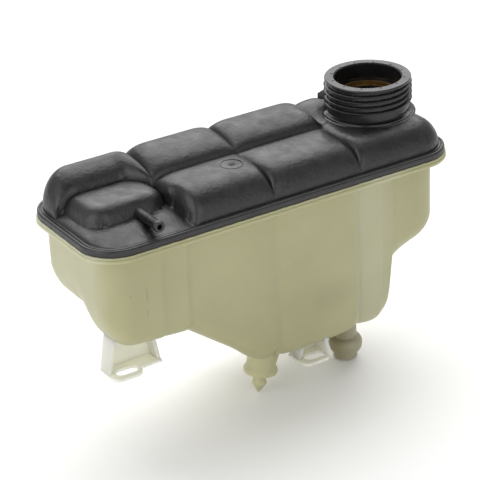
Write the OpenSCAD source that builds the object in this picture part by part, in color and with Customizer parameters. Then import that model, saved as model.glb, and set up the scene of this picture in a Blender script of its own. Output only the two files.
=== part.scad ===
// Coolant expansion tank: a natural lower shell and a dark upper shell, welded at their flanges.
// Millimetres, +Z up, X along the tank. The origin is the centre of the filler neck's mouth.

/* [Flange] */
// Length of the weld flange
flange_l = 280; // [274:1:290]
// Width of the weld flange
flange_w = 104; // [100:1:110]
// Corner radius of the weld flange
flange_r = 26; // [22:1:30]
// Thickness of the lower shell's flange
low_flange_t = 5; // [4:0.5:6]
// Thickness of the upper shell's flange
up_flange_t = 6; // [5:0.5:7]

/* [Lower shell] */
// Wall thickness of both shells
wall = 2.5; // [2:0.1:3]
// How far the shell's wall lies inside the flange edge
wall_inset = 7; // [6:0.5:8]
// Depth of the shallow left section
shallow_d = 66; // [62:1:69]
// Depth of the deep middle section
deep_d = 109; // [104:1:116]
// How far the deep section's bays bulge below their creases
bay_bulge = 4.5; // [2:0.5:6]
// Where the sloping underside starts
ramp_x = 69; // [64:1:72]
// Where the sloping underside meets the deep section
ramp_end_x = 122; // [116:1:126]
// Distance of the deep section from the right end of the flange
block_from_right = 50; // [44:1:54]
// Depth of the right end's overhang beside the deep section
overhang_d = 73; // [68:1:78]
// Depth of the right end's overhang at its outer end
overhang_end_d = 54; // [50:1:58]
// Radius of the rounded bottom edges
bottom_r = 14; // [12:1:18]
// Radius of the shallow section's rounded left end
left_r = 24; // [18:1:28]
// Radius of the upright bay grooves
groove_r = 4; // [3:0.5:5]
// How far the front wall steps back before the first groove
front_step = 1.5; // [1:0.25:2]
// How far the front wall steps back at the first groove
bay_step = 2; // [1:0.25:3]
// How far the front wall steps back again at the last groove
setback = 4; // [3:0.5:5]

/* [Bays] */
// Groove between the first and second bays
groove_1_x = 70; // [67:1:73]
// Groove between the second and third bays
groove_2_x = 133; // [128:1:138]
// Distance from the groove before the neck bay to the right end of the flange
groove_3_from_right = 79; // [76:1:83]

/* [Upper shell] */
// How far the domes' foot lies inside the flange edge
lid_inset = 5; // [4:0.5:7]
// Height of the rear domes above the flange face
rear_dome_h = 28; // [25:0.5:30]
// Height of the front domes above the flange face
front_dome_h = 20; // [18.5:0.5:22]
// Height of the neck bay above the flange face
neck_bay_h = 20; // [18:0.5:22]
// Height of the recessed front-left dome
left_dome_h = 16; // [15:0.5:18]
// Height of the long groove between front and rear domes
valley_h = 17; // [15:0.5:18]
// Where the long groove between front and rear domes runs
long_groove_y = 51; // [49:1:56]

/* [Filler neck] */
// Distance of the neck's axis from the right end of the flange
neck_from_right = 40; // [38:1:42]
// Diameter across the thread crests
thread_d = 60; // [58:0.5:62]
// Depth of the thread ridges
thread_depth = 2; // [1:0.25:2.5]
// Distance from ridge to ridge
thread_pitch = 4; // [3.5:0.25:4.25]
// Height of the neck above its collar
neck_h = 25; // [24:0.5:28]
// Bore of the neck at its mouth
neck_bore_d = 45.4; // [44:0.2:47]
// Bore below the seat of the insert
neck_throat_d = 36; // [34:0.5:38]
// Depth of the insert's seat below the mouth
seat_depth = 12; // [10:0.5:14]

/* [Neck insert] */
// Height of the golden ring
insert_h = 3; // [2:0.5:5]
// Outer diameter of the pocket that holds the ring
pocket_d = 42; // [40:0.5:43]
// Radial clearance of the ring in its pocket
insert_gap = 0.1; // [0.05:0.05:0.3]

/* [Ports] */
// Outer diameter of the vent nipple
nipple_d = 6.6; // [6:0.2:8]
// Length of the vent nipple
nipple_l = 27; // [22:1:30]
// Bore of the vent nipple
nipple_bore_d = 3.2; // [2.4:0.2:4]
// Diameter of the outlet's plain end
outlet_end_d = 17; // [16:0.2:18]
// Length of the outlet's plain end
outlet_end_l = 4.5; // [4:0.25:6]
// Diameter of the outlet's rounded collar
outlet_collar_d = 24; // [22:0.2:26]
// Diameter of the outlet's neck above the collar
outlet_neck_d = 16; // [15.6:0.2:18]
// Bore of the outlet
outlet_bore_d = 12; // [10:0.5:12.5]
// Length of the outlet below the creases of the deep section
outlet_l = 36; // [32:0.5:38]

/* [Feet and peg] */
// Thickness of the foot plates
foot_t = 2.5; // [2:0.5:3]
// Reach of a foot from its slot to its left edge
foot_left = 13; // [12:0.5:15]
// Reach of the left foot from its slot to its right edge
left_foot_reach = 26; // [22:1:28]
// Reach of the right foot from its slot to its right edge
right_foot_reach = 11; // [10:0.5:14]
// Width of the slot in a foot
slot_w = 8; // [6:0.5:9]
// Length of the slot in a foot
slot_l = 15.6; // [13:0.2:18]
// Height of the left foot plate below the flange
left_foot_z = 86.5; // [84:0.5:90]
// Height of the right foot plate below the flange
right_foot_z = 125; // [122:0.5:128]
// Diameter of the locating peg's stem
peg_d = 20; // [18:0.5:22]
// Length of the locating peg's stem
peg_l = 21; // [18:1:24]
// Lean of the locating peg
peg_lean = 8; // [0:1:10]

/* [Level float] */
// Diameter of the float
float_d = 27; // [24:0.5:29]
// Height of the float
float_h = 18; // [15:0.5:20]
// Outer diameter of the sensor well
well_d = 13; // [12:0.5:14]
// Bore of the sensor well
well_bore_d = 9; // [8:0.5:10]
// Height of the sensor well
well_h = 58; // [54:1:62]
// Radial clearance of the float on the well
float_gap = 0.5; // [0.3:0.1:0.8]
// Gap under the resting float
rest_gap = 0.3; // [0.2:0.1:0.5]

/* [Hidden] */
fine = 64;
eps = 0.01;
neck_x = flange_l - neck_from_right;
neck_y = flange_w / 2;
block_x = flange_l - block_from_right;
groove_3_x = flange_l - groove_3_from_right;
flange_face = low_flange_t + up_flange_t;
collar_z = flange_face + neck_bay_h;
mouth_z = collar_z + neck_h;
seat_z = mouth_z - seat_depth;
bore_r = neck_bore_d / 2;
throat_r = neck_throat_d / 2;
pocket_r = pocket_d / 2;
mouth_inset = wall_inset + front_step + bay_step + setback + wall;
neck_root_r = thread_d / 2 - thread_depth;
collar_r = thread_d / 2 + 2.3;
dome_r = 20;
rear_slope_r = 26;
front_slope_r = 14;
cross_r = 13;
cross_dip = 0.5;
left_bend = 15;
left_valley_drop = 4;
neck_bay_rise = 5;
shelf_edge_y = 29;
pill_left = 11;
pill_r = 15;
pill_edge = 9;
block_turn = 3;
rear_lift = 0.2;
lift_y = [34, 52];
lift_end = [-14, 10];
shallow_fall = 3;
foot_lip_r = 6;
foot_lip_front = 8.5;
foot_lip_right = 9.5;
foot_back = 10;
foot_taper = 5;
peg_root = 14;
peg_bell = 3.6;
peg_bell_h = 3;
peg_flare_h = 4;
peg_edge = 1;
peg_neck_r = 4;
peg_neck_l = 3;
peg_barb_r = 5.1;
peg_barb_l = 8;
peg_point_r = 0.6;
peg_tip_l = 15.7;
gusset_t = 2.5;
gusset_reach = 7;
collar_low = 6.5;
collar_high = 5;
outlet_root = 8;
well_foot = 8;
well_foot_h = 3;
neck_root = 12;
peg_at = [groove_2_x + 3.5, 34];
step_x = 47;
well_at = [block_x - 49, 56];
well_base_z = -deep_d - bay_bulge;
outlet_at = [block_x - 21, 40];
left_foot_at = [24, 20];
right_foot_at = [groove_3_x - 32, 20];
nipple_at = [46, 30, 18.5];
float_z = well_base_z + wall + well_foot_h + rest_gap;
grooves_x = [groove_1_x, groove_2_x, groove_3_x];
seg_steps = 8;

// A soft step from 0 at a to 1 at b.
function ease(t, a, b) = let (u = min(1, max(0, (t - a) / (b - a)))) u * u * (3 - 2 * u);

// How far a rounded edge of radius r has pulled in at t of its height.
function round_in(t, r) = let (u = min(1, max(0, t))) r * (1 - sqrt(max(0, 1 - u * u)));

// Grid stations, closer together at both ends of each stretch.
function stretch(a, b, n) = [for (i = [0 : n - 1]) a + (b - a) * (1 - cos(180 * i / n)) / 2];

// Pulls a point of a rectangle's corner square onto a quarter disc of radius r.
function round_corner(x, y, e, r) =
    let (cx = min(max(x, e + r), flange_l - e - r), cy = min(max(y, e + r), flange_w - e - r),
         px = x - cx, py = y - cy, m = max(abs(px), abs(py)), n = norm([px, py]))
    n < eps ? [x, y] : [cx + px * m / n, cy + py * m / n];

function shoulder(d, r) = let (u = min(1, max(0, d / r))) sqrt(1 - (1 - u) * (1 - u));

// Distance from a point to the rounded outline that lies e inside the flange edge.
function edge_gap(x, y, e) =
    let (r = flange_r - e, qx = abs(x - flange_l / 2) - (flange_l / 2 - e - r),
         qy = abs(y - flange_w / 2) - (flange_w / 2 - e - r))
    r - norm([max(qx, 0), max(qy, 0)]) - min(max(qx, qy), 0);

// A closed solid between a grid of surface points and a flat base at height z. Both lists run
// along x first, and nx points lie in each row. side is 1 where the surface is above the base.
module relief_solid(surface, z, nx, side) {
    k = len(surface);
    ny = k / nx;
    base = [for (p = surface) [p[0], p[1], z]];
    grid = [for (j = [0 : ny - 2]) for (i = [0 : nx - 2]) let (a = j * nx + i)
        each [[a, a + nx, a + nx + 1], [a, a + nx + 1, a + 1]]];
    rim = concat([for (i = [0 : nx - 2]) i], [for (j = [0 : ny - 2]) j * nx + nx - 1],
                 [for (i = [nx - 1 : -1 : 1]) (ny - 1) * nx + i], [for (j = [ny - 1 : -1 : 1]) j * nx]);
    floor = [for (f = grid) [f[2] + k, f[1] + k, f[0] + k]];
    walls = [for (i = [0 : len(rim) - 1]) let (a = rim[i], b = rim[(i + 1) % len(rim)])
        each [[a, b, b + k], [a, b + k, a + k]]];
    faces = concat(grid, floor, walls);
    polyhedron(concat(surface, base), side > 0 ? faces : [for (f = faces) [f[2], f[1], f[0]]], convexity = 8);
}

// Depth of the underside: shallow floor, slope, deep section, then the overhang at the right end.
function ramp_share(x) = let (u = (x - ramp_x) / (ramp_end_x - ramp_x))
    u < 0.8 ? max(0, u) : u < 1.2 ? 1 - (1.2 - u) * (1.2 - u) / 0.8 : 1;
function slope_d(x) = let (floor_d = shallow_d + shallow_fall * ease(x, step_x - 20, ramp_x))
    floor_d + (deep_d - floor_d) * ramp_share(x) - round_in((wall_inset + left_r - x) / left_r, left_r);
function bulge(x) = bay_bulge * ease(x, ramp_end_x - 20, ramp_end_x + 10)
    * shoulder(min(abs(x - groove_2_x), abs(x - groove_3_x)), 20);
function block_d(x) = deep_d + bulge(x) - round_in((x - (block_x - bottom_r)) / bottom_r, bottom_r);
function overhang(x) =
    let (u = min(1, max(0, (x - block_x - block_turn) / (flange_l - block_x - block_turn))))
    overhang_d + (overhang_end_d - overhang_d) * sqrt(u);
function turn_d(x) = block_d(block_x) - (block_d(block_x) - overhang_d) * (x - block_x) / block_turn;
function under_d(x) = x <= block_x - bottom_r ? slope_d(x) + bulge(x)
    : x <= block_x ? block_d(x) : max(overhang(x), turn_d(x));
// The floor's rear left is raised.
function raised(x, y) = 1 - rear_lift * ease(y, lift_y[0], lift_y[1])
    * (1 - ease(x, ramp_x + lift_end[0], ramp_x + lift_end[1]));

// How far the front wall lies behind its left end.
function front_relief(x) = front_step * ease(x, step_x, step_x + 3)
    + bay_step * ease(x, groove_1_x - 4, groove_1_x) + setback * ease(x, groove_3_x, groove_3_x + 4);

// The basin's form less a skin of thickness t, before its grooves are cut.
module basin_form(t) {
    e = wall_inset + t;
    right_x = block_x - t;
    xs = concat(stretch(e, step_x, 6), [step_x, step_x + 3], stretch(step_x + 5, ramp_x, 3),
                stretch(ramp_x, ramp_end_x, 5), stretch(ramp_end_x, groove_2_x, 2),
                stretch(groove_2_x, groove_3_x, 6), stretch(groove_3_x, groove_3_x + 4, 2),
                stretch(groove_3_x + 4, right_x, 6), stretch(right_x, right_x + block_turn, 2),
                stretch(right_x + block_turn, flange_l - e, 6), [flange_l - e]);
    ys = concat(stretch(e, flange_w / 2, 6), stretch(flange_w / 2, flange_w - e, 6), [flange_w - e]);
    surface = [for (y = ys) for (x = xs)
        let (p = round_corner(x, y, e, flange_r - e),
             front = max(0, (flange_w / 2 - p[1]) / (flange_w / 2 - e)),
             edge_rise = bottom_r * (1 - shoulder(edge_gap(p[0], p[1], e), bottom_r)),
             d = (under_d(p[0] + (x > groove_3_x ? t : 0)) - t) * raised(p[0], p[1]) - edge_rise)
        [p[0], p[1] + front * front_relief(p[0]), -d]];
    relief_solid(surface, 0, len(xs), -1);
}

// The basin with an upright groove at each bay line.
module basin(t) {
    difference() {
        basin_form(t);
        for (x = [groove_2_x, groove_3_x])
            translate([x, wall_inset + front_relief(x) - groove_r / 3, -deep_d - 1])
                cylinder(r = groove_r + t, h = deep_d + 2, $fn = fine);
        for (x = grooves_x)
            translate([x, flange_w - wall_inset + groove_r / 3, -deep_d - 1])
                cylinder(r = groove_r + t, h = deep_d + 2, $fn = fine);
    }
}

module rounded_plate(l, w, r, h) {
    hull()
        for (x = [r, l - r], y = [r, w - r])
            translate([x, y, 0]) cylinder(r = r, h = h, $fn = fine);
}

// A slotted foot plate below a web that narrows upwards, with a side rib at each end of the web.
module foot(at, z, top, reach) {
    translate([at[0], at[1], -z]) {
        difference() {
            union() {
                hull() {
                    for (x = [-foot_left + foot_lip_r, foot_lip_right - foot_lip_r])
                        translate([x, foot_lip_r - foot_lip_front, 0])
                            cylinder(r = foot_lip_r, h = foot_t, $fn = 32);
                    translate([-foot_left, foot_back, 0])
                        cube([foot_left + foot_lip_right, foot_t, foot_t]);
                }
                translate([0, -1, 0]) cube([reach, foot_back + foot_t + 1, foot_t]);
            }
            for (x = [-1, 1])
                translate([x * (slot_l - slot_w) / 2, 0, -1])
                    cylinder(d = slot_w, h = foot_t + 2, $fn = fine);
            translate([-(slot_l - slot_w) / 2, -slot_w / 2, -1])
                cube([slot_l - slot_w, slot_w, foot_t + 2]);
        }
        leaning_wall(-foot_left, reach, foot_back + foot_t, foot_t, z - top);
        leaning_wall(-foot_left, -foot_left + foot_t, foot_back + 1, foot_back + 1, z - top);
        leaning_wall(reach - foot_t, reach, foot_back + 1, foot_back + 1, z - top);
    }
}

// A wall of a given depth whose left and right ends both lean towards the foot's middle.
module leaning_wall(x0, x1, y, depth, h) {
    left = x0 < 0 ? foot_taper : -foot_taper;
    right = x1 < 0 ? foot_taper : -foot_taper;
    translate([0, y, 0]) rotate([90, 0, 0])
        linear_extrude(depth) polygon([[x0, 0], [x1, 0], [x1 + right, h], [x0 + left, h]]);
}

// The peg leans a little. A bell at its lower end and a pointed tip snap into a grommet.
module peg() {
    stem_r = peg_d / 2;
    bell_r = stem_r + peg_bell / 2;
    bell_z = peg_bell_h - peg_l;
    profile = [[0, peg_root], [stem_r, peg_root], [stem_r, bell_z + peg_flare_h], [bell_r, bell_z],
               [bell_r, peg_edge - peg_l], [bell_r - peg_edge, -peg_l], [peg_neck_r, -peg_l],
               [peg_neck_r, -peg_l - peg_neck_l], [peg_barb_r, -peg_l - peg_barb_l],
               [peg_point_r, -peg_l - peg_tip_l], [0, -peg_l - peg_tip_l]];
    translate([peg_at[0], peg_at[1], -deep_d]) rotate([0, peg_lean, 0]) {
        rotate_extrude($fn = fine) polygon(profile);
        translate([0, gusset_t / 2, 0]) rotate([90, 0, 0]) linear_extrude(gusset_t)
            polygon([[0, 0], [stem_r + gusset_reach, 0], [bell_r, bell_z], [0, bell_z]]);
    }
}

// The outlet points down: a neck, a rounded collar and a plain end.
module outlet_solid() {
    collar_r = outlet_collar_d / 2;
    end_r = outlet_end_d / 2;
    neck_r = outlet_neck_d / 2;
    collar_mid = outlet_end_l + collar_low - outlet_l;
    high = [for (a = [90 : -15 : 0])
        [neck_r + (collar_r - neck_r) * cos(a), collar_mid + collar_high * sin(a)]];
    low = [for (a = [15 : 15 : 90])
        [end_r + (collar_r - end_r) * cos(a), collar_mid - collar_low * sin(a)]];
    profile = concat([[0, outlet_root], [neck_r, outlet_root]], high, low,
                     [[end_r, -outlet_l], [0, -outlet_l]]);
    translate([outlet_at[0], outlet_at[1], -deep_d]) rotate_extrude($fn = fine) polygon(profile);
}

module outlet_bore() {
    translate([outlet_at[0], outlet_at[1], -deep_d - outlet_l - 1])
        cylinder(d = outlet_bore_d, h = outlet_l + outlet_root, $fn = fine);
}

// The sensor well stands on the floor inside. It starts within the floor's thickness.
module well_solid() {
    start = wall / 2;
    translate([well_at[0], well_at[1], well_base_z + start]) {
        cylinder(d = well_d, h = well_h - start, $fn = fine);
        cylinder(d = well_d + well_foot, h = wall + well_foot_h - start, $fn = fine);
    }
}

module well_bore() {
    translate([well_at[0], well_at[1], well_base_z - 1])
        cylinder(d = well_bore_d, h = well_h - wall + 1, $fn = fine);
}

module lower_shell() {
    color([0.72, 0.71, 0.56])
    place() difference() {
        union() {
            difference() {
                union() {
                    basin(0);
                    rounded_plate(flange_l, flange_w, flange_r, low_flange_t);
                    outlet_solid();
                    peg();
                    foot(left_foot_at, left_foot_z, shallow_d - 8, left_foot_reach);
                    foot(right_foot_at, right_foot_z, deep_d - 8, right_foot_reach);
                }
                basin(wall);
                translate([mouth_inset, mouth_inset, -1])
                    rounded_plate(flange_l - 2 * mouth_inset, flange_w - 2 * mouth_inset,
                                  flange_r - mouth_inset, low_flange_t + 2);
            }
            well_solid();
        }
        well_bore();
        outlet_bore();
    }
}

function x_lines(e) = concat(
    stretch(e, groove_1_x, seg_steps), stretch(groove_1_x, groove_2_x, seg_steps),
    stretch(groove_2_x, groove_3_x, seg_steps), stretch(groove_3_x, flange_l - e, seg_steps), [flange_l - e]);
function y_lines(e) = concat(
    stretch(e, long_groove_y, seg_steps), stretch(long_groove_y, flange_w - e, seg_steps), [flange_w - e]);

// The long groove runs further back beside the recessed front-left dome, and lies lower there.
function groove_y(x) = long_groove_y + left_bend * (1 - ease(x, groove_1_x - 16, groove_1_x + 1));
function groove_h(x) = valley_h - left_valley_drop * (1 - ease(x, groove_1_x - 10, groove_1_x + 20));
function bend_y(x, y, e) = y <= long_groove_y
    ? e + (y - e) * (groove_y(x) - e) / (long_groove_y - e)
    : flange_w - e - (flange_w - e - y) * (flange_w - e - groove_y(x)) / (flange_w - e - long_groove_y);

// The neck bay rises behind and to the left of the neck.
function neck_bay(x, y) =
    neck_bay_h + neck_bay_rise * ease(y, 56, 78) * (1 - ease(x, neck_x - 24, neck_x - 8));
function bay_h(x, y) = x > groove_3_x ? neck_bay(x, y) : y > groove_y(x) ? rear_dome_h
    : x < groove_1_x ? left_dome_h : front_dome_h;

// How full the domes stand beside the long groove, and beside the cross grooves.
function across(x, y) = x > groove_3_x ? 1
    : shoulder(abs(y - groove_y(x)), y > groove_y(x) ? rear_slope_r : front_slope_r);
function along(x, y) = let (full = shoulder(min([for (g = grooves_x) abs(x - g)]), cross_r))
    y > groove_y(x) ? 1 - cross_dip * (1 - full) : full;

// The front-left dome is a rounded pill behind a low sloping shelf.
function pill_gap(x, y) = let (dx = min(x - pill_left, groove_1_x - x), dy = y - shelf_edge_y)
    pill_r - norm([max(pill_r - dx, 0), max(pill_r - dy, 0)]);
function shelf(x, y) = x > groove_1_x || y > groove_y(x) ? 1
    : let (low = 0.1 + 0.24 * ease(y, lid_inset, shelf_edge_y - 2))
      low + (1 - low) * shoulder(pill_gap(x, y), pill_edge);
function dome_h(x, y, e) = shoulder(edge_gap(x, y, e), dome_r) * shelf(x, y)
    * (groove_h(x) + (bay_h(x, y) - groove_h(x)) * across(x, y) * along(x, y));

// The domes down to the flange's underside, less a skin of thickness t.
module domes(t) {
    e = lid_inset + t;
    xs = x_lines(e);
    surface = [for (y = y_lines(e)) for (x = xs)
        let (p = round_corner(x, bend_y(x, y, e), e, flange_r - e))
        [p[0], p[1], flange_face - t + eps + dome_h(p[0], p[1], e)]];
    relief_solid(surface, low_flange_t, len(xs), 1);
}

// The neck's outside as one turned profile: collar, plain band and thread ridges.
module neck_outside() {
    ridges = [for (i = [0 : 3]) let (z = neck_h - 3 - i * thread_pitch)
        each [[neck_root_r, z + 1.6], [thread_d / 2, z + 0.5],
              [thread_d / 2, z - 0.5], [neck_root_r, z - 1.6]]];
    base = [[0, -neck_root], [neck_root_r, -neck_root], [collar_r, -2], [collar_r, 1.2], [neck_root_r, 1.8]];
    profile = concat(base,
                     [for (i = [len(ridges) - 1 : -1 : 0]) ridges[i]], [[neck_root_r, neck_h], [0, neck_h]]);
    translate([neck_x, neck_y, collar_z]) rotate_extrude($fn = fine) polygon(profile);
}

module nipple_solid() {
    translate(nipple_at) rotate([90, 0, 0]) {
        translate([0, 0, -10]) cylinder(d = nipple_d, h = nipple_l + 10, $fn = fine);
        translate([0, 0, nipple_l - 3]) cylinder(d = nipple_d + 1.1, h = 3, $fn = fine);
    }
}

module upper_shell() {
    color([0.16, 0.16, 0.17])
    place() difference() {
        union() {
            difference() {
                union() {
                    domes(0);
                    translate([0, 0, low_flange_t]) rounded_plate(flange_l, flange_w, flange_r, up_flange_t);
                    neck_outside();
                    nipple_solid();
                }
                translate([0, 0, -eps]) domes(wall);
            }
            difference() {
                neck_outside();
                translate([0, 0, -1]) cube([flange_l, flange_w, low_flange_t + 1]);
            }
        }
        translate([neck_x, neck_y, 0]) cylinder(r = throat_r, h = mouth_z + 1, $fn = fine);
        translate([neck_x, neck_y, seat_z]) cylinder(r = bore_r, h = seat_depth + 1, $fn = fine);
        translate([neck_x, neck_y, seat_z - insert_h]) cylinder(r = pocket_r, h = insert_h + 1, $fn = fine);
        translate(nipple_at) rotate([90, 0, 0])
            translate([0, 0, -12]) cylinder(d = nipple_bore_d, h = nipple_l + 14, $fn = fine);
    }
}

module neck_insert() {
    color([0.72, 0.52, 0.2])
    place() translate([neck_x, neck_y, seat_z - insert_h]) difference() {
        cylinder(r = pocket_r - insert_gap, h = insert_h, $fn = fine);
        translate([0, 0, -1]) cylinder(r = throat_r + 1.5, h = insert_h + 2, $fn = fine);
    }
}

module level_float() {
    color([0.2, 0.2, 0.2])
    place() translate([well_at[0], well_at[1], float_z]) difference() {
        cylinder(d = float_d, h = float_h, $fn = fine);
        translate([0, 0, -1]) cylinder(d = well_d + 2 * float_gap, h = float_h + 2, $fn = fine);
    }
}

// Moves the tank so that the centre of the neck's mouth is the origin.
module place() {
    translate([-neck_x, -neck_y, -mouth_z]) children();
}

lower_shell();
upper_shell();
neck_insert();
level_float();
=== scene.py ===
import math

import bpy
import numpy as np
from mathutils import Matrix, Vector


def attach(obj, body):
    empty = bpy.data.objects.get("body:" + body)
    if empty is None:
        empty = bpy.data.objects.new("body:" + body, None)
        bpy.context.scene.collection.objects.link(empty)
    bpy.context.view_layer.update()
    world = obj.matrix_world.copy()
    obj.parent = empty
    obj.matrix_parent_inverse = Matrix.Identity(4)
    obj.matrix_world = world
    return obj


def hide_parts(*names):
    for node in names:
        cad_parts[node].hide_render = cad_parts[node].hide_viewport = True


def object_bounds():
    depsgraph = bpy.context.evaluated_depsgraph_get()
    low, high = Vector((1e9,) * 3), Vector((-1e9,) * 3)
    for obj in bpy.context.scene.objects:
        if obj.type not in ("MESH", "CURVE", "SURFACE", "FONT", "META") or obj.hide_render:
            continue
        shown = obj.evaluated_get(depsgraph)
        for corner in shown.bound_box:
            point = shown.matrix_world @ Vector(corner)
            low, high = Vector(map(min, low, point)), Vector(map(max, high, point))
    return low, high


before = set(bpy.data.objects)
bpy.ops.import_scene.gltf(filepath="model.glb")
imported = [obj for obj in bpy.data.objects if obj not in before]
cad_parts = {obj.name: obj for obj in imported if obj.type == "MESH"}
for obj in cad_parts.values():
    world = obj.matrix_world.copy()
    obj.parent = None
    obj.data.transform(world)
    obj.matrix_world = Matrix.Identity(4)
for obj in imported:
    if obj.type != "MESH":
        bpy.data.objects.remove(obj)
CAD_BOX = [list(corner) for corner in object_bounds()]

# Sizes in millimetres, in the tank's own coordinates: x from the left end, y from the front, z from
# the underside of the flange. NECK is the frame's origin there.
FLANGE_L, FLANGE_W, FLANGE_R = 280.0, 104.0, 26.0
LOW_T, UP_T = 5.0, 6.0
FACE = LOW_T + UP_T
INSET, LID_INSET, WALL = 7.0, 5.0, 2.5
MOUTH_INSET = 17.0
SHALLOW_D, DEEP_D, BOTTOM_R = 66.0, 109.0, 14.0
SHALLOW_FALL, BAY_BULGE, LEFT_R = 3.0, 4.5, 24.0
RAMP_X, RAMP_END_X, BLOCK_X, BLOCK_TURN = 69.0, 122.0, 230.0, 3.0
OVERHANG_D, OVERHANG_END_D = 73.0, 54.0
STEP_X = 47.0
GROOVES = (70.0, 133.0, 201.0)
GROOVE_Y, LEFT_BEND = 51.0, 15.0
REAR_H, FRONT_H, NECK_BAY_H, LEFT_H = 28.0, 20.0, 20.0, 16.0
VALLEY_H, LEFT_VALLEY_DROP, NECK_BAY_RISE = 17.0, 4.0, 5.0
DOME_R, REAR_SLOPE_R, FRONT_SLOPE_R, CROSS_R, CROSS_DIP = 20.0, 26.0, 14.0, 13.0, 0.5
PILL_LEFT, PILL_FRONT, PILL_R = 11.0, 29.0, 15.0
NECK_H, THREAD_R, THREAD_DEPTH, PITCH = 25.0, 30.0, 2.0, 4.0
BORE_R, POCKET_R, THROAT_R = 22.7, 21.0, 18.0
SEAT_DEPTH, INSERT_H = 12.0, 3.0
COLLAR_Z = FACE + NECK_BAY_H
MOUTH_Z = COLLAR_Z + NECK_H
NECK = np.array([240.0, 52.0, MOUTH_Z])
PEG, PEG_L, PEG_LEAN = (136.5, 34.0), 21.0, 8.0
WELL, WELL_BASE = (181.0, 56.0), -DEEP_D - BAY_BULGE
OUTLET, OUTLET_L, OUTLET_BORE_R = (209.0, 40.0), 36.0, 6.0
FOOT_T, FOOT_LEFT, FOOT_BACK, FOOT_TAPER = 2.5, 13.0, 10.0, 5.0
LIP_FRONT, LIP_RIGHT, LIP_R = 8.5, 9.5, 6.0
LEFT_FOOT, RIGHT_FOOT = (24.0, 20.0, 86.5), (169.0, 20.0, 125.0)
LEFT_REACH, RIGHT_REACH = 26.0, 11.0
NIPPLE = (46.0, 30.0, 18.5)
SLOT_R, SLOT_HALF = 4.0, 3.8
FLOAT_WELL_HOLE, OUTLET_HOLE_MARGIN = 6.6, 1.4
# The front wall steps back at these places: from x, to x, by how much.
FRONT_STEPS = ((STEP_X, STEP_X + 3, 1.5), (GROOVES[0] - 4, GROOVES[0], 2.0),
               (GROOVES[2], GROOVES[2] + 4, 4.0), (222, 224, 0.7), (234, 236, -0.7))
# Upright creases in the front wall: groove, lean to the right at full depth, depth, half width.
FRONT_CREASES = ((GROOVES[1], 5.5, 2.2, 3.2), (GROOVES[2], 2.0, 2.6, 2.6))
REAR_CREASE_DEPTH, CREASE_HALF_WIDTH = 2.8, 2.6
SHELF_LOW, SHELF_RISE, PILL_EDGE, FLANK_EDGE = 0.10, 0.24, 9.0, 7.0
DISC_MARK = (118.0, 33.0)
RIM_DIMPLES, RIM_DIMPLE_AT = 12, 24.8


def to_frame(points):
    return (np.asarray(points, float) - NECK) / 1000.0


def ease(t, a, b):
    u = np.clip((t - a) / (b - a), 0, 1)
    return u * u * (3 - 2 * u)


def round_in(t, r):
    u = np.clip(t, 0, 1)
    return r * (1 - np.sqrt(np.maximum(0, 1 - u * u)))


def shoulder(d, r):
    u = np.clip(d / r, 0, 1)
    return np.sqrt(1 - (1 - u) ** 2)


def make_piece(name, verts, faces, material, smooth=True, body="tank"):
    mesh = bpy.data.meshes.new(name)
    mesh.from_pydata([tuple(v) for v in to_frame(verts)], [], [tuple(int(i) for i in f) for f in faces])
    mesh.validate()
    mesh.update()
    if smooth:
        mesh.shade_smooth()
        mesh.set_sharp_from_angle(angle=math.radians(42))
    mesh.materials.append(material)
    obj = bpy.data.objects.new(name, mesh)
    bpy.context.scene.collection.objects.link(obj)
    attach(obj, body)
    return obj


def strip_faces(rings, n, close_ring=False):
    """Quads between rings of n points each, and between the last ring and the first if close_ring."""
    faces = []
    for j in range(rings if close_ring else rings - 1):
        k = (j + 1) % rings
        for i in range(n):
            m = (i + 1) % n
            faces.append((j * n + i, k * n + i, k * n + m, j * n + m))
    return faces


def stack(name, rings, material, loop=False, flip=False):
    """A solid from rings of equal length: capped at both ends, or closed on itself as a loop."""
    n = len(rings[0])
    faces = strip_faces(len(rings), n, loop)
    if not loop:
        faces.append(tuple(range(n)))
        faces.append(tuple((len(rings) - 1) * n + i for i in reversed(range(n))))
    if flip:
        faces = [tuple(reversed(f)) for f in faces]
    return make_piece(name, np.concatenate(rings), faces, material)


def outline(inset, z, n_arc=14, n_side=60):
    """The rounded rectangle of the flange, inset by a distance, anticlockwise from the rear right."""
    r = FLANGE_R - inset
    x0, x1, y0, y1 = inset + r, FLANGE_L - inset - r, inset + r, FLANGE_W - inset - r
    pts = []
    centres = ((x1, y1, 0), (x0, y1, 90), (x0, y0, 180), (x1, y0, 270))
    for k, (cx, cy, start) in enumerate(centres):
        a = np.radians(start + 90 * np.arange(n_arc + 1) / n_arc)
        arc = np.stack([cx + r * np.cos(a), cy + r * np.sin(a)], -1)
        nx, ny, nstart = centres[(k + 1) % 4]
        b = math.radians(nstart)
        end = np.array([nx + r * math.cos(b), ny + r * math.sin(b)])
        count = n_side if k % 2 == 0 else n_side // 3
        t = np.arange(1, count)[:, None] / count
        pts += [arc, arc[-1] * (1 - t) + end * t]
    flat = np.concatenate(pts)
    return np.column_stack([flat, np.full(len(flat), z)])


def revolve(profile, n=96):
    """Rings round the Z axis from (radius, height) points."""
    a = 2 * math.pi * np.arange(n) / n
    return [np.stack([r * np.cos(a), r * np.sin(a), np.full(n, z)], -1) for r, z in profile]


def turned(name, profile, place, material, n=96, loop=True):
    """A turned piece from a (radius, height) profile, placed by a 4 by 4 matrix in millimetres."""
    rings = []
    m = np.array(place)
    for ring in revolve(profile, n):
        rings.append(ring @ m[:3, :3].T + m[:3, 3])
    return stack(name, rings, material, loop=loop)


def at(x, y, z, rotation=None):
    m = Matrix.Translation((x, y, z))
    return m @ rotation if rotation is not None else m


# Materials
def new_material(name):
    mat = bpy.data.materials.new(name)
    mat.use_nodes = True
    return mat, mat.node_tree.nodes, mat.node_tree.links, mat.node_tree.nodes["Principled BSDF"]


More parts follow.
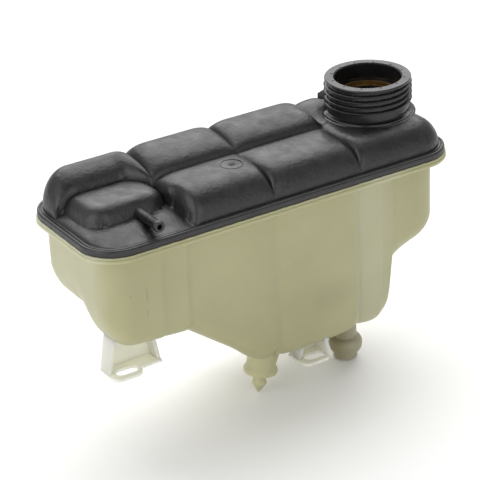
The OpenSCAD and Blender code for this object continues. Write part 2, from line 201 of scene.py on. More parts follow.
def noise(nodes, links, coords, scale, detail=4.0):
    tex = nodes.new("ShaderNodeTexNoise")
    tex.inputs["Scale"].default_value = scale
    tex.inputs["Detail"].default_value = detail
    links.new(coords.outputs["Object"], tex.inputs["Vector"])
    return tex


def ramp(nodes, links, source, stops):
    node = nodes.new("ShaderNodeValToRGB")
    while len(node.color_ramp.elements) < len(stops):
        node.color_ramp.elements.new(0.5)
    for element, (position, colour) in zip(node.color_ramp.elements, stops):
        element.position = position
        element.color = (*colour, 1)
    links.new(source, node.inputs["Fac"])
    return node


def add_bump(nodes, links, bsdf, source, strength, distance):
    bump = nodes.new("ShaderNodeBump")
    bump.inputs["Strength"].default_value = strength
    bump.inputs["Distance"].default_value = distance
    links.new(source, bump.inputs["Height"])
    links.new(bump.outputs["Normal"], bsdf.inputs["Normal"])


def combine(nodes, links, values, operation):
    """Adds or multiplies a list of sockets."""
    total = values[0]
    for value in values[1:]:
        step = nodes.new("ShaderNodeMath")
        step.operation = operation
        links.new(total, step.inputs[0])
        links.new(value, step.inputs[1])
        total = step.outputs["Value"]
    return total


def soft_spot(nodes, links, coords, centre, half, strength):
    """A soft darker spot: 1 outside, falling to 1 - strength at its centre, in tank millimetres."""
    place = to_frame(centre)
    size = np.array(half) / 1000
    mapping = nodes.new("ShaderNodeMapping")
    mapping.inputs["Location"].default_value = [-p / s for p, s in zip(place, size)]
    mapping.inputs["Scale"].default_value = [1 / s for s in size]
    links.new(coords.outputs["Object"], mapping.inputs["Vector"])
    length = nodes.new("ShaderNodeVectorMath")
    length.operation = "LENGTH"
    links.new(mapping.outputs["Vector"], length.inputs[0])
    fall = nodes.new("ShaderNodeMapRange")
    fall.interpolation_type = "SMOOTHSTEP"
    fall.inputs["From Min"].default_value = 0.25
    fall.inputs["From Max"].default_value = 1.0
    fall.inputs["To Min"].default_value = 1 - strength
    fall.inputs["To Max"].default_value = 1.0
    links.new(length.outputs["Value"], fall.inputs["Value"])
    return fall.outputs["Result"]


def natural_plastic(name, low, high, scatter, through=0.0, scatter_depth=0.006):
    """Aged translucent plastic with bands of painted light, the float's painted soft shadow and a few
    scuffs.
    """
    mat, nodes, links, bsdf = new_material(name)
    coords = nodes.new("ShaderNodeTexCoord")
    cloud = noise(nodes, links, coords, 14.0)
    tint = ramp(nodes, links, cloud.outputs["Fac"], [(0.32, low), (0.68, high)])
    split = nodes.new("ShaderNodeSeparateXYZ")
    links.new(coords.outputs["Object"], split.inputs["Vector"])
    lit_bands = []
    for start, stop, strength in PAINTED_LIGHT_BANDS:
        band = nodes.new("ShaderNodeMapRange")
        band.interpolation_type = "SMOOTHSTEP"
        band.inputs["From Min"].default_value = start
        band.inputs["From Max"].default_value = stop
        band.inputs["To Max"].default_value = strength
        links.new(split.outputs["X"], band.inputs["Value"])
        lit_bands.append(band.outputs["Result"])
    painted_lightness = combine(nodes, links, lit_bands, "ADD")
    # The bands mix the tint towards this light colour: painted light.
    fade = nodes.new("ShaderNodeMix")
    fade.data_type = "RGBA"
    fade.inputs["B"].default_value = (0.60, 0.60, 0.50, 1)
    links.new(painted_lightness, fade.inputs["Factor"])
    links.new(tint.outputs["Color"], fade.inputs["A"])
    spots = [soft_spot(nodes, links, coords, *spot) for spot in SPOTS]
    value = combine(nodes, links, spots, "MULTIPLY")
    shade = nodes.new("ShaderNodeVectorMath")
    shade.operation = "SCALE"
    links.new(fade.outputs["Result"], shade.inputs[0])
    links.new(value, shade.inputs["Scale"])
    links.new(shade.outputs["Vector"], bsdf.inputs["Base Color"])
    bsdf.inputs["Roughness"].default_value = 0.42
    bsdf.inputs["IOR"].default_value = 1.49
    bsdf.inputs["Subsurface Weight"].default_value = scatter
    bsdf.inputs["Subsurface Radius"].default_value = (1.0, 0.95, 0.6)
    bsdf.inputs["Subsurface Scale"].default_value = scatter_depth
    bsdf.inputs["Transmission Weight"].default_value = through
    grain = noise(nodes, links, coords, 900.0, 2.0)
    add_bump(nodes, links, bsdf, grain.outputs["Fac"], 0.06, 0.0003)
    return mat


def dark_plastic(name, rough_from, rough_to, sheen, grain_depth):
    mat, nodes, links, bsdf = new_material(name)
    coords = nodes.new("ShaderNodeTexCoord")
    cloud = noise(nodes, links, coords, 22.0)
    tint = ramp(nodes, links, cloud.outputs["Fac"],
                [(0.35, (0.006, 0.006, 0.0065)), (0.7, (0.012, 0.0118, 0.012))])
    links.new(tint.outputs["Color"], bsdf.inputs["Base Color"])
    rough = nodes.new("ShaderNodeMapRange")
    rough.inputs["To Min"].default_value = rough_from
    rough.inputs["To Max"].default_value = rough_to
    mottle = noise(nodes, links, coords, 130.0, 6.0)
    links.new(mottle.outputs["Fac"], rough.inputs["Value"])
    rough.inputs["From Min"].default_value = 0.3
    rough.inputs["From Max"].default_value = 0.7
    links.new(rough.outputs["Result"], bsdf.inputs["Roughness"])
    bsdf.inputs["IOR"].default_value = 1.5
    bsdf.inputs["Specular IOR Level"].default_value = sheen
    grain = noise(nodes, links, coords, 420.0, 6.0)
    add_bump(nodes, links, bsdf, grain.outputs["Fac"], grain_depth, 0.0006)
    return mat


def golden_metal():
    mat, nodes, links, bsdf = new_material("golden_metal")
    coords = nodes.new("ShaderNodeTexCoord")
    cloud = noise(nodes, links, coords, 180.0)
    tint = ramp(nodes, links, cloud.outputs["Fac"],
                [(0.3, (0.30, 0.16, 0.04)), (0.7, (0.52, 0.31, 0.09))])
    links.new(tint.outputs["Color"], bsdf.inputs["Base Color"])
    bsdf.inputs["Metallic"].default_value = 0.8
    bsdf.inputs["Roughness"].default_value = 0.33
    return mat


def float_foam():
    mat, nodes, links, bsdf = new_material("float_foam")
    coords = nodes.new("ShaderNodeTexCoord")
    cells = noise(nodes, links, coords, 1100.0)
    tint = ramp(nodes, links, cells.outputs["Fac"],
                [(0.3, (0.02, 0.02, 0.02)), (0.7, (0.06, 0.06, 0.06))])
    links.new(tint.outputs["Color"], bsdf.inputs["Base Color"])
    bsdf.inputs["Roughness"].default_value = 0.85
    add_bump(nodes, links, bsdf, cells.outputs["Fac"], 0.4, 0.0004)
    return mat


def plain(name, colour, roughness):
    mat, nodes, links, bsdf = new_material(name)
    bsdf.inputs["Base Color"].default_value = (*colour, 1)
    bsdf.inputs["Roughness"].default_value = roughness
    return mat


# Soft spots on the front wall: the float's shadow, a scratch in two parts and a mark.
# Each has a centre, a half size and a strength.
SPOTS = (((178.7, 12.0, -74.8), (23.0, 14.0, 19.0), 0.08),
         ((35.6, 7.0, -27.0), (0.55, 9.0, 9.0), 0.28),
         ((35.2, 7.0, -40.0), (0.5, 9.0, 4.0), 0.28),
         ((23.7, 7.0, -25.4), (0.8, 9.0, 1.0), 0.25))
# Painted light: lighter at the left end and in the bay below the neck. From x, to x, by how much.
PAINTED_LIGHT_BANDS = ((-0.226, -0.238, 0.3), (-0.044, -0.032, 0.22), (-0.022, 0.004, -0.22))
NATURAL = natural_plastic("natural_plastic", (0.35, 0.336, 0.185), (0.40, 0.386, 0.222), 0.35)
# The feet's plastic is written much lighter than the shell's: partly the thin plastic's own lighter tone,
# partly painted light for feet that sit in shade.
THIN_AND_PAINTED_LIGHT = natural_plastic("thin_plastic_and_painted_light", (0.78, 0.77, 0.62), (0.83, 0.82, 0.68), 0.8, 0.2, 0.02)
PALER = natural_plastic("peg_plastic", (0.42, 0.40, 0.23), (0.47, 0.45, 0.27), 0.4)
# The outlet's plastic is written darker and browner than the shell's; its darkness is painted shade.
SHADED_TAN = natural_plastic("shaded_outlet_plastic", (0.225, 0.20, 0.108), (0.255, 0.225, 0.125), 0.3)
DARK = dark_plastic("dark_plastic", 0.29, 0.50, 0.60, 0.5)
NECK_DARK = dark_plastic("neck_plastic", 0.22, 0.32, 0.45, 0.1)
GOLD = golden_metal()
FOAM = float_foam()
# Near-black painted shade for the hollows of the rim's dimples.
DIMPLE_SHADE = plain("rim_dimple_shade", (0.004, 0.004, 0.004), 0.9)


# Shells from two grids of points, an outer and an inner one
def stations(points, step, t, edge=(0.0, 0.12, 0.45, 0.95, 1.6)):
    """Grid stations through the given points, closer at both ends and drawn in there by t."""
    lo, hi = points[0], points[-1]
    inner = [np.linspace(a, b, max(2, round((b - a) / step) + 1)) for a, b in zip(points, points[1:])]
    every = np.unique(np.round(np.concatenate(inner), 4))
    every = every[(every > lo + edge[-1] + step / 2) & (every < hi - edge[-1] - step / 2)]
    spread = np.r_[lo + np.array(edge), every, hi - np.array(edge)[::-1]]
    return lo + t + (spread - lo) * (hi - lo - 2 * t) / (hi - lo)


def edge_gap(x, y, inset):
    r = FLANGE_R - inset
    qx = np.abs(x - FLANGE_L / 2) - (FLANGE_L / 2 - inset - r)
    qy = np.abs(y - FLANGE_W / 2) - (FLANGE_W / 2 - inset - r)
    return r - np.hypot(np.maximum(qx, 0), np.maximum(qy, 0)) - np.minimum(np.maximum(qx, qy), 0)


def round_corners(x, y, inset):
    """Pulls the corner squares of a rectangular grid onto quarter discs."""
    r = FLANGE_R - inset
    cx = np.clip(x, inset + r, FLANGE_L - inset - r)
    cy = np.clip(y, inset + r, FLANGE_W - inset - r)
    px, py = x - cx, y - cy
    n = np.maximum(np.hypot(px, py), 1e-9)
    m = np.maximum(np.abs(px), np.abs(py))
    corner = (np.abs(px) > 0) & (np.abs(py) > 0)
    return np.where(corner, cx + px * m / n, x), np.where(corner, cy + py * m / n, y)


def rim_of(nx, ny):
    return np.array([*range(nx - 1), *[j * nx + nx - 1 for j in range(ny - 1)],
                     *[(ny - 1) * nx + i for i in range(nx - 1, 0, -1)],
                     *[j * nx for j in range(ny - 1, 0, -1)]])


def shell(name, outer, inner, nx, ny, top, material, keep=None, up=True, levels=7, bend=None):
    """A shell between two grids of points whose rims run straight on to height top.

    keep says which points of the outer grid stay, so that a hole can be left, and bend moves the points.
    """
    rim = rim_of(nx, ny)
    sheets = []
    for grid in (outer, inner):
        walls = []
        for u in np.linspace(0, 1, levels + 1)[1:]:
            ring = grid[rim].copy()
            ring[:, 2] += (top - ring[:, 2]) * u
            walls.append(ring)
        sheet = np.concatenate([grid, *walls])
        sheets.append(bend(sheet) if bend else sheet)
    k, n = len(sheets[0]), len(rim)
    j, i = [g.ravel() for g in np.meshgrid(range(ny - 1), range(nx - 1), indexing="ij")]
    a = j * nx + i
    quads = np.column_stack([a, a + 1, a + nx + 1, a + nx])
    if keep is not None:
        quads = quads[keep[quads].any(axis=1)]
    rows = [rim] + [nx * ny + level * n + np.arange(n) for level in range(levels)]
    for low, high in zip(rows, rows[1:]):
        wall = np.column_stack([low, high, np.roll(high, -1), np.roll(low, -1)])
        quads = np.concatenate([quads, wall])
    edges = np.concatenate([quads[:, [0, 1]], quads[:, [1, 2]], quads[:, [2, 3]], quads[:, [3, 0]]])
    known = set(map(tuple, edges.tolist()))
    open_edges = np.array([e for e in edges.tolist() if (e[1], e[0]) not in known])
    start, end = open_edges.T
    bridge = np.column_stack([end, start, start + k, end + k])
    faces = np.concatenate([quads, quads[:, ::-1] + k, bridge])
    if not up:
        faces = faces[:, ::-1]
    return make_piece(name, np.concatenate(sheets), faces, material)


# Lower shell
def ramp_share(x):
    u = (x - RAMP_X) / (RAMP_END_X - RAMP_X)
    return np.select([u < 0.8, u < 1.2], [np.maximum(0, u), 1 - (1.2 - u) ** 2 / 0.8], 1.0)


def bulge(x):
    """How far the deep section's bays hang below their creases."""
    gap = np.minimum(np.abs(x - GROOVES[1]), np.abs(x - GROOVES[2]))
    return BAY_BULGE * ease(x, RAMP_END_X - 20, RAMP_END_X + 10) * shoulder(gap, 20)


def block_depth(x):
    return DEEP_D + bulge(x) - round_in((x - (BLOCK_X - BOTTOM_R)) / BOTTOM_R, BOTTOM_R)


def under_depth(x):
    """Depth of the underside: shallow floor, slope, deep section, then the overhang at the right end."""
    floor = SHALLOW_D + SHALLOW_FALL * ease(x, STEP_X - 20, RAMP_X)
    left_round = round_in((INSET + LEFT_R - x) / LEFT_R, LEFT_R)
    slope = floor + (DEEP_D - floor) * ramp_share(x) - left_round + bulge(x)
    past = BLOCK_X + BLOCK_TURN
    along = np.sqrt(np.clip((x - past) / (FLANGE_L - past), 0, 1))
    overhang = OVERHANG_D + (OVERHANG_END_D - OVERHANG_D) * along
    edge = block_depth(BLOCK_X)
    fall = edge - (edge - OVERHANG_D) * (x - BLOCK_X) / BLOCK_TURN
    turn = np.where(x <= BLOCK_X, block_depth(x), np.maximum(overhang, fall))
    return np.where(x <= BLOCK_X - BOTTOM_R, slope, turn)


def front_relief(x):
    """How far the front wall lies behind its leftmost stretch."""
    return sum(step * ease(x, start, stop) for start, stop, step in FRONT_STEPS)


def crease(x, line, depth, width):
    return depth * np.exp(-((x - line) / width) ** 2)


def draw_creases(points):
    """Presses the upright bay creases into the walls. The front ones lean to the right further down."""
    x, y, z = points.T
    half = FLANGE_W / 2
    down = np.clip(-z / DEEP_D, 0, 1)
    front = np.clip((half - y) / (half - INSET), 0, 1) ** 6
    rear = np.clip((y - half) / (half - INSET), 0, 1) ** 6
    pressed = sum(crease(x - lean * down, line, depth, width)
                  for line, lean, depth, width in FRONT_CREASES)
    behind = sum(crease(x, line, REAR_CREASE_DEPTH, CREASE_HALF_WIDTH) for line in GROOVES)
    return np.column_stack([x, y + front * pressed - rear * behind, z])


def basin_grid(t):
    inset = INSET + t
    xs = stations((INSET, STEP_X, STEP_X + 3, GROOVES[0], RAMP_END_X, GROOVES[1], GROOVES[2], BLOCK_X,
                   BLOCK_X + BLOCK_TURN, FLANGE_L - INSET), 1.25, t)
    ys = stations((INSET, FLANGE_W - INSET), 1.5, t)
    x, y = [g.ravel() for g in np.meshgrid(xs, ys)]
    x, y = round_corners(x, y, inset)
    half = FLANGE_W / 2
    edge = BOTTOM_R * (1 - shoulder(edge_gap(x, y, inset), BOTTOM_R))
    raised = 1 - 0.2 * ease(y, 34, half) * (1 - ease(x, RAMP_X - 14, RAMP_X + 10))
    depth = (under_depth(x + np.where(x > GROOVES[2], t, 0)) - t) * raised - edge
    front = np.clip((half - y) / (half - inset), 0, 1)
    return np.column_stack([x, y + front * front_relief(x), -depth]), len(xs), len(ys)


def make_lower_shell():
    outer, nx, ny = basin_grid(0.0)
    inner = basin_grid(WALL)[0]
    holes = [np.hypot(outer[:, 0] - x, outer[:, 1] - y) > r
             for (x, y), r in ((OUTLET, OUTLET_BORE_R + OUTLET_HOLE_MARGIN), (WELL, FLOAT_WELL_HOLE))]
    body = shell("lower_shell_body", outer, inner, nx, ny, 0.0, NATURAL,
                 keep=holes[0] & holes[1], up=False, levels=14, bend=draw_creases)
    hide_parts("lower_shell")
    profile = [(MOUTH_INSET, -0.8), (8.4, -0.8), (7.0, -0.4), (6.4, 0.0), (3.6, 0.9), (1.2, 1.7),
               (0.4, 2.1), (0.0, 2.7), (0.0, 3.9), (0.4, 4.6), (1.2, 5.0), (MOUTH_INSET, 5.0)]
    rings = [outline(inset, z) for inset, z in profile]
    stack("lower_flange", rings, NATURAL, loop=True)
    well = [(4.5, -0.1), (7.7, -0.1), (7.7, 2.0), (10.5, 2.2), (10.5, 5.2), (10.2, 5.5), (6.9, 5.5),
            (6.5, 5.9), (6.5, 57.6), (6.1, 58.0), (0.02, 58.0), (0.02, 55.5), (4.5, 55.5)]
    turned("sensor_well", well, at(*WELL, WELL_BASE), NATURAL, n=64)


def foot_plate_outline(grow, reach, n=16):
    """The foot plate in plan about its slot: a rounded lip, and a straight run to the right."""
    back = FOOT_BACK + FOOT_T
    r = LIP_R + grow
    pts = [(reach + grow, back), (-FOOT_LEFT - grow, back)]
    for cx, start in ((-FOOT_LEFT + LIP_R, 180), (LIP_RIGHT - LIP_R, 270)):
        for a in np.radians(start + 90 * np.arange(n + 1) / n):
            pts.append((cx + r * math.cos(a), LIP_R - LIP_FRONT + r * math.sin(a)))
    return np.array(pts + [(LIP_RIGHT + grow, -1 - grow), (reach + grow, -1 - grow)])


def resample(points, n):
    """n points evenly spaced along a closed outline."""
    closed = np.vstack([points, points[:1]])
    step = np.r_[0, np.cumsum(np.hypot(*np.diff(closed, axis=0).T))]
    s = np.linspace(0, step[-1], n, endpoint=False)
    return np.column_stack([np.interp(s, step, closed[:, i]) for i in (0, 1)])


def slot_outline(grow, n=24):
    r = SLOT_R + grow
    pts = []
    for cx, start in ((SLOT_HALF, -90), (-SLOT_HALF, 90)):
        for a in np.radians(start + 180 * np.arange(n + 1) / n):
            pts.append((cx + r * math.cos(a), r * math.sin(a)))
    return np.array(pts)


def by_angle(points, want):
    """The points of a closed outline at the wanted angles, so that two outlines pair up."""
    dense = resample(points, 2400)
    angles = np.arctan2(dense[:, 1], dense[:, 0])
    gap = np.abs((angles[None, :] - want[:, None] + math.pi) % (2 * math.pi) - math.pi)
    return dense[gap.argmin(1)]


def make_foot(name, place, reach, top, right_front=0.0):
    """A slotted plate under a channel that opens to the front. right_front is its right wall's front."""
    x, y, depth = place
    corners = foot_plate_outline(0.0, reach)
    want = np.unique(np.round(np.r_[np.linspace(-math.pi, math.pi, 120, endpoint=False),
                                    np.arctan2(corners[:, 1], corners[:, 0])], 4))
    n = len(want)
    rings = []
    for grow, z in ((-0.5, 0.0), (0.0, 0.5), (0.0, FOOT_T - 0.5), (-0.5, FOOT_T)):
        rings.append(np.column_stack([by_angle(foot_plate_outline(grow, reach), want), np.full(n, z)]))
    for grow, z in ((0.4, FOOT_T), (0.0, FOOT_T - 0.4), (0.0, 0.4), (0.4, 0.0)):
        rings.append(np.column_stack([by_angle(slot_outline(grow), want), np.full(n, z)]))
    shift = np.array([x, y, -depth])
    stack(name + "_plate", [r + shift for r in rings], THIN_AND_PAINTED_LIGHT, loop=True)
    height = depth - top
    back, front, t, e = FOOT_BACK + FOOT_T, FOOT_BACK, FOOT_T, 0.6
    web = []
    for u in np.linspace(0, 1, 13):
        left, right, z = FOOT_TAPER * u - FOOT_LEFT, reach - FOOT_TAPER * u, 0.4 + (height - 0.4) * u
        f = right_front
        ring = [(left, back, z), (right, back, z), (right, f + e, z), (right - e, f, z),
                (right - t + e, f, z), (right - t, f + e, z), (right - t, front - e, z),
                (right - t - e, front, z), (left + t + e, front, z), (left + t, front - e, z),
                (left + t, e, z), (left + t - e, 0, z), (left + e, 0, z), (left, e, z)]
        web.append(np.array(ring) + shift)
    stack(name + "_web", web, THIN_AND_PAINTED_LIGHT)


def make_peg():
    """The locating peg: a stem with a bell, a barb below it and a gusset to its right."""
    spin = Matrix.Rotation(math.radians(PEG_LEAN), 4, "Y")
    place = at(*PEG, -DEEP_D, spin)
    low = -PEG_L
    bell = [(10.0, 8.2), (10.2, 6.6), (10.8, 4.9), (11.5, 3.6), (11.8, 2.8), (11.8, 1.3), (11.5, 0.5),
            (10.8, 0.0)]
    barb = [(4.4, 0.0), (4.0, -0.5), (4.0, -3.2), (4.6, -5.6), (5.1, -7.4), (5.1, -8.2), (4.8, -8.8),
            (0.9, -15.2), (0.02, -15.7)]
    profile = [(0.02, 10.0), (10.0, 10.0)] + [(r, low + z) for r, z in bell + barb]
    turned("locating_peg", profile, place, PALER, n=96, loop=False)
    m = np.array(place)
    rib = []
    for z in np.linspace(6, low + 3, 14):
        reach = 17 + 5.2 * min(z, 0) / 18
        ring = np.array([(7, -1.25, z), (reach - 0.4, -1.25, z), (reach, -0.85, z), (reach, 0.85, z),
                         (reach - 0.4, 1.25, z), (7, 1.25, z)])
        rib.append(ring @ m[:3, :3].T + m[:3, 3])
    stack("peg_gusset", rib, PALER)


def make_outlet():
    """The outlet points down: a neck, a rounded collar and a plain end."""
    mid, low = -25.0, -OUTLET_L
    profile = [(OUTLET_BORE_R, 1.5), (8.0, 1.5), (8.0, -19.5)]
    profile += [(8 + 4 * math.cos(a), mid + 5 * math.sin(a)) for a in np.radians(np.arange(80, -1, -10))]
    profile += [(8.5 + 3.5 * math.cos(a), mid - 6.5 * math.sin(a))
                for a in np.radians(np.arange(10, 91, 10))]
    profile += [(8.5, low + 0.5), (8.0, low), (OUTLET_BORE_R + 0.5, low), (OUTLET_BORE_R, low + 0.5)]
    turned("outlet", profile, at(*OUTLET, -DEEP_D), SHADED_TAN, n=96)


# Upper shell
def groove_line(x):
    return GROOVE_Y + LEFT_BEND * (1 - ease(x, GROOVES[0] - 16, GROOVES[0] + 1))


def recess(x, y, rear):
    """The front-left dome is a pill that stands back from the edges, above a low sloping shelf."""
    dx = np.minimum(x - PILL_LEFT, GROOVES[0] - x)
    dy = y - PILL_FRONT
    gap = PILL_R - np.hypot(np.maximum(PILL_R - dx, 0), np.maximum(PILL_R - dy, 0))
    low = SHELF_LOW + SHELF_RISE * ease(y, LID_INSET, PILL_FRONT - 2)
    pill = low + (1 - low) * shoulder(gap, PILL_EDGE)
    flank_from = GROOVES[0] + 5 * (1 - shoulder(y - LID_INSET, 20))
    flank = low + (1 - low) * shoulder(x - flank_from, FLANK_EDGE)
    flank = flank + (1 - flank) * ease(y, 26, 36)
    value = np.where(x < GROOVES[0], pill, flank)
    return np.where(rear | (x > GROOVES[0] + 20), 1.0, value)


def dome_height(x, y, inset):
    gy = groove_line(x)
    rear, left, neck = y > gy, x < GROOVES[0], x > GROOVES[2]
    rise = NECK_BAY_RISE * ease(y, 56, 78) * (1 - ease(x, NECK[0] - 24, NECK[0] - 8))
    height = np.where(neck, NECK_BAY_H + rise, np.where(rear, REAR_H, np.where(left, LEFT_H, FRONT_H)))
    floor = VALLEY_H - LEFT_VALLEY_DROP * (1 - ease(x, GROOVES[0] - 10, GROOVES[0] + 20))
    across = np.where(neck, 1.0, shoulder(np.abs(y - gy), np.where(rear, REAR_SLOPE_R, FRONT_SLOPE_R)))
    gap = np.min([np.abs(x - g) for g in GROOVES], axis=0)
    gap = np.sqrt(gap ** 2 + 0.3) - 0.55
    full = shoulder(gap, CROSS_R)
    along = np.where(rear, 1 - CROSS_DIP * (1 - full), full)
    notch = np.where(rear, 1.0, 1 - 0.3 * (1 - shoulder(gap, 6)) * (1 - ease(y, 8, 36)))
    return (shoulder(edge_gap(x, y, inset), DOME_R) * recess(x, y, rear) * notch
            * (floor + (height - floor) * across * along))


def dome_grid(t):
    inset = LID_INSET + t
    xs = stations((LID_INSET, *GROOVES, FLANGE_L - LID_INSET), 1.2, t)
    ys = stations((LID_INSET, GROOVE_Y, FLANGE_W - LID_INSET), 1.1, t)
    x, y = [g.ravel() for g in np.meshgrid(xs, ys)]
    gy = groove_line(x)
    far = FLANGE_W - inset
    in_front = inset + (y - inset) * (gy - inset) / (GROOVE_Y - inset)
    y = np.where(y <= GROOVE_Y, in_front, far - (far - y) * (far - gy) / (far - GROOVE_Y))
    x, y = round_corners(x, y, inset)
    z = FACE - 0.2 - t + dome_height(x, y, inset)
    return np.column_stack([x, y, z]), len(xs), len(ys)


def make_upper_shell():
    outer, nx, ny = dome_grid(0.0)
    inner = dome_grid(WALL)[0]
    keep = np.hypot(outer[:, 0] - NECK[0], outer[:, 1] - NECK[1]) > THROAT_R + 4
    domes = shell("upper_shell_domes", outer, inner, nx, ny, LOW_T, DARK,
                  keep=keep, levels=3)
    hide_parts("upper_shell")


def make_upper_flange():
    profile = [(7.3, 5.0), (2.6, 5.0), (1.6, 5.5), (1.0, 6.3), (1.0, 9.6), (1.4, 10.6), (2.2, 11.0),
               (2.8, 10.9), (3.1, 10.3), (3.6, 10.3), (3.9, 10.9), (4.6, 11.0), (7.3, 11.0)]
    stack("upper_flange", [outline(inset, z) for inset, z in profile], DARK, loop=True)
    line = outline(0, 0, n_arc=40, n_side=600)[:, :2]
    rng = np.random.default_rng(7)
    wander = np.convolve(rng.random(len(line) + 8), np.ones(9) / 9, "valid")[:len(line)]
    rings = []
    for inset, z in ((1.1, 5.0), (0.35, 5.0), (0.2, 5.5), (0.45, 6.2), (1.1, 6.4)):
        base = outline(inset, z, n_arc=40, n_side=600)
        if z > LOW_T:
            base[:, 2] += (wander - 0.5) * 0.9
        rings.append(base)
    stack("weld_flash", rings, NATURAL, loop=True)


def thread_radius(theta, z):
    """Crest height of the helical thread above its root at an angle and a height above the collar."""
    low, high = NECK_H - 19.5, NECK_H - 2.5
    phase = ((z - PITCH * theta / (2 * math.pi)) / PITCH) % 1.0
    crest = np.clip(np.cos(2 * math.pi * (phase - 0.5)), 0, 1) ** 0.7
    window = ease(z, low, low + 2) * (1 - ease(z, high - 1.2, high))
    return THREAD_DEPTH * crest * window


def make_neck():
    n = 256
    theta = 2 * math.pi * np.arange(n) / n
    root = THREAD_R - THREAD_DEPTH
    rings = []

    def add(radius, z):
        r = np.broadcast_to(radius, (n,))
        rings.append(np.column_stack([NECK[0] + r * np.cos(theta), NECK[1] + r * np.sin(theta),
                                      np.full(n, COLLAR_Z + z)]))
    for radius, z in ((root - 1, -14), (root + 0.2, -8), (32.0, -2.5), (32.3, -1.6), (32.3, -0.4),
                      (31.7, 0.0), (31.2, 0.1), (31.0, 0.6), (30.9, 1.1), (30.2, 1.5), (root + 0.3, 1.7)):
        add(radius, z)
    for z in np.linspace(2.0, NECK_H - 2.3, 110):
        add(root + thread_radius(theta, z), z)
    for radius, z in ((root + 1.1, NECK_H - 1.9), (root + 1.5, NECK_H - 1.4), (root + 1.5, NECK_H - 0.5),
                      (root + 1.1, NECK_H), (BORE_R + 0.8, NECK_H), (BORE_R, NECK_H - 0.8)):
        add(radius, z)
    seat = NECK_H - SEAT_DEPTH
    for radius, z in ((BORE_R, seat), (POCKET_R, seat), (POCKET_R, seat - INSERT_H),
                      (THROAT_R, seat - INSERT_H), (THROAT_R, -14)):
        add(radius, z)
    stack("filler_neck", rings, NECK_DARK, loop=True)
    lug = [np.array([(-2.4 * s, 0, z), (2.4 * s, 0, z), (0, 6.5 * s + 0.2, z)]) for s, z in
           ((1, 8), (1, 12), (0.3, 15))]
    turn = math.radians(52)
    c, s = math.cos(turn), math.sin(turn)
    spin = np.array([[c, -s, 0], [s, c, 0], [0, 0, 1]])
    base = NECK + np.array([-s * 27.5, c * 27.5, COLLAR_Z - MOUTH_Z])
    stack("neck_lug", [p @ spin.T + base for p in lug], DARK)


def make_rim_dimple_shades():
    """Painted shade for the small dimples round the neck's rim: near-black dots, barely raised."""
    for k in range(RIM_DIMPLES):
        a = 2 * math.pi * (k + 0.5) / RIM_DIMPLES
        x, y = RIM_DIMPLE_AT * math.cos(a), RIM_DIMPLE_AT * math.sin(a)
        place = at(NECK[0] + x, NECK[1] + y, MOUTH_Z - 0.25)
        profile = [(0.02, 0.27), (0.8, 0.26), (0.9, 0.1), (0.9, -0.3), (0.02, -0.3)]
        turned("rim_mark_%02d" % k, profile, place, DIMPLE_SHADE, n=16, loop=False)


def make_nipple():
    spin = Matrix.Rotation(math.radians(90), 4, "X")
    profile = [(1.6, -10), (3.3, -10), (3.3, 23.2), (3.75, 23.8), (3.85, 24.6), (3.85, 26.0), (3.5, 26.8),
               (2.0, 27.0), (1.6, 26.6)]
    turned("vent_nipple", profile, at(*NIPPLE, spin), DARK, n=64)


def make_disc_mark():
    x, y = DISC_MARK
    z = FACE - 0.2 + float(dome_height(np.array([x]), np.array([y]), LID_INSET)[0])
    ring = [(7.1, -1.5), (7.8, -1.5), (7.8, 0.15), (7.55, 0.3), (7.3, 0.3), (7.1, 0.15)]
    turned("disc_mark_ring", ring, at(x, y, z), DARK, n=96)
    nub = [(0.02, 0.9), (1.3, 0.8), (1.8, 0.3), (2.2, 0.1), (2.2, -1.5), (0.02, -1.5)]
    turned("disc_mark_nub", nub, at(x, y, z), DARK, n=48, loop=False)


# Stage
def make_camera():
    """The photograph's viewpoint: its heading, pitch, roll, target and distance."""
    heading, pitch, roll = math.radians(31.30), math.radians(26.45), math.radians(-2.67)
    target, distance = np.array([95.42, -10.12, 0.0]), 1231.0
    half_view = math.radians(7.0)
    forward = np.array([math.sin(heading) * math.cos(pitch), math.cos(heading) * math.cos(pitch),
                        -math.sin(pitch)])
    flat_right = np.array([math.cos(heading), -math.sin(heading), 0.0])
    flat_up = np.cross(flat_right, forward)
    right = flat_right * math.cos(roll) + flat_up * math.sin(roll)
    up = -flat_right * math.sin(roll) + flat_up * math.cos(roll)
    place = to_frame(target - forward * distance)
    data = bpy.data.cameras.new("camera")
    data.sensor_width = 36.0
    data.lens = 18.0 / math.tan(half_view)
    data.clip_start, data.clip_end = 0.01, 20.0
    cam = bpy.data.objects.new("camera", data)
    cam.matrix_world = Matrix([[*col] for col in np.column_stack(
        [np.r_[right, 0], np.r_[up, 0], np.r_[-forward, 0], np.r_[place, 1]])])
    bpy.context.scene.collection.objects.link(cam)
    bpy.context.scene.camera = cam


def make_floor():
    z = CAD_BOX[0][2] - 0.0005
    size = 6.0
    mesh = bpy.data.meshes.new("floor")
    corners = [(-size, -size, z), (size, -size, z), (size, size, z), (-size, size, z)]
    mesh.from_pydata(corners, [], [(0, 1, 2, 3)])
    mesh.materials.append(plain("floor", (0.95, 0.95, 0.95), 0.9))
    floor = bpy.data.objects.new("floor", mesh)
    bpy.context.scene.collection.objects.link(floor)


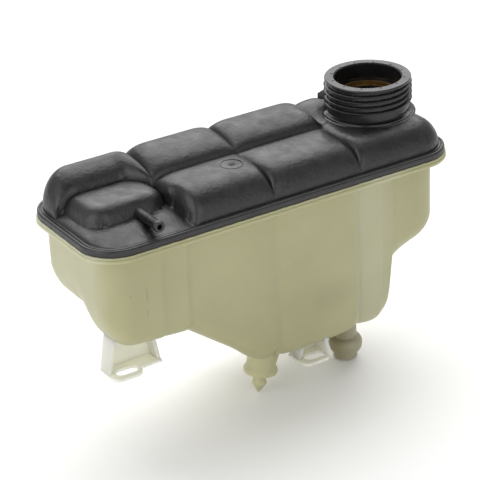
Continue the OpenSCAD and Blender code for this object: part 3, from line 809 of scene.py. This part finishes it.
# Broad, far lights: name, where from, strength, softness in degrees, share in reflections.
LIGHTS = (("left", (-0.92, -0.12, 0.36), 1.5, 60, 1.0),
          ("rear", (0.27, 0.55, 0.79), 2.5, 70, 1.0),
          ("fill", (-0.05, -0.96, 0.28), 1.05, 60, 0.0))
DIM_SIDE, BRIGHT_SIDE = 0.16, 0.52


def make_light(name, source, strength, softness, specular):
    data = bpy.data.lights.new(name, "SUN")
    data.energy = strength
    data.angle = math.radians(softness)
    data.specular_factor = specular
    lamp = bpy.data.objects.new(name, data)
    lamp.rotation_euler = Vector(source).to_track_quat("Z", "Y").to_euler()
    bpy.context.scene.collection.objects.link(lamp)


def make_world():
    """Even white light that is dimmer on the camera's side."""
    world = bpy.data.worlds.new("world")
    world.use_nodes = True
    nodes, links = world.node_tree.nodes, world.node_tree.links
    coords = nodes.new("ShaderNodeTexCoord")
    side = nodes.new("ShaderNodeVectorMath")
    side.operation = "DOT_PRODUCT"
    side.inputs[1].default_value = (0.52, 0.854, 0.0)
    links.new(coords.outputs["Generated"], side.inputs[0])
    level = nodes.new("ShaderNodeMapRange")
    level.interpolation_type = "SMOOTHSTEP"
    level.inputs["From Min"].default_value = -0.8
    level.inputs["From Max"].default_value = 0.5
    level.inputs["To Min"].default_value = DIM_SIDE
    level.inputs["To Max"].default_value = BRIGHT_SIDE
    links.new(side.outputs["Value"], level.inputs["Value"])
    nodes["Background"].inputs["Color"].default_value = (1, 1, 1, 1)
    links.new(level.outputs["Result"], nodes["Background"].inputs["Strength"])
    bpy.context.scene.world = world


make_camera()
make_floor()
make_world()
for light in LIGHTS:
    make_light(*light)
make_lower_shell()
make_foot("left_foot", LEFT_FOOT, LEFT_REACH, SHALLOW_D - 8)
make_foot("right_foot", RIGHT_FOOT, RIGHT_REACH, DEEP_D - 2, right_front=-7.5)
make_peg()
make_outlet()
make_upper_shell()
make_upper_flange()
make_neck()
make_rim_dimple_shades()
make_nipple()
make_disc_mark()
for node, material in (("neck_insert", GOLD), ("level_float", FOAM)):
    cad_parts[node].data.materials.clear()
    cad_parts[node].data.materials.append(material)

bpy.context.scene.view_settings.view_transform = "Standard"
bpy.context.view_layer.update()
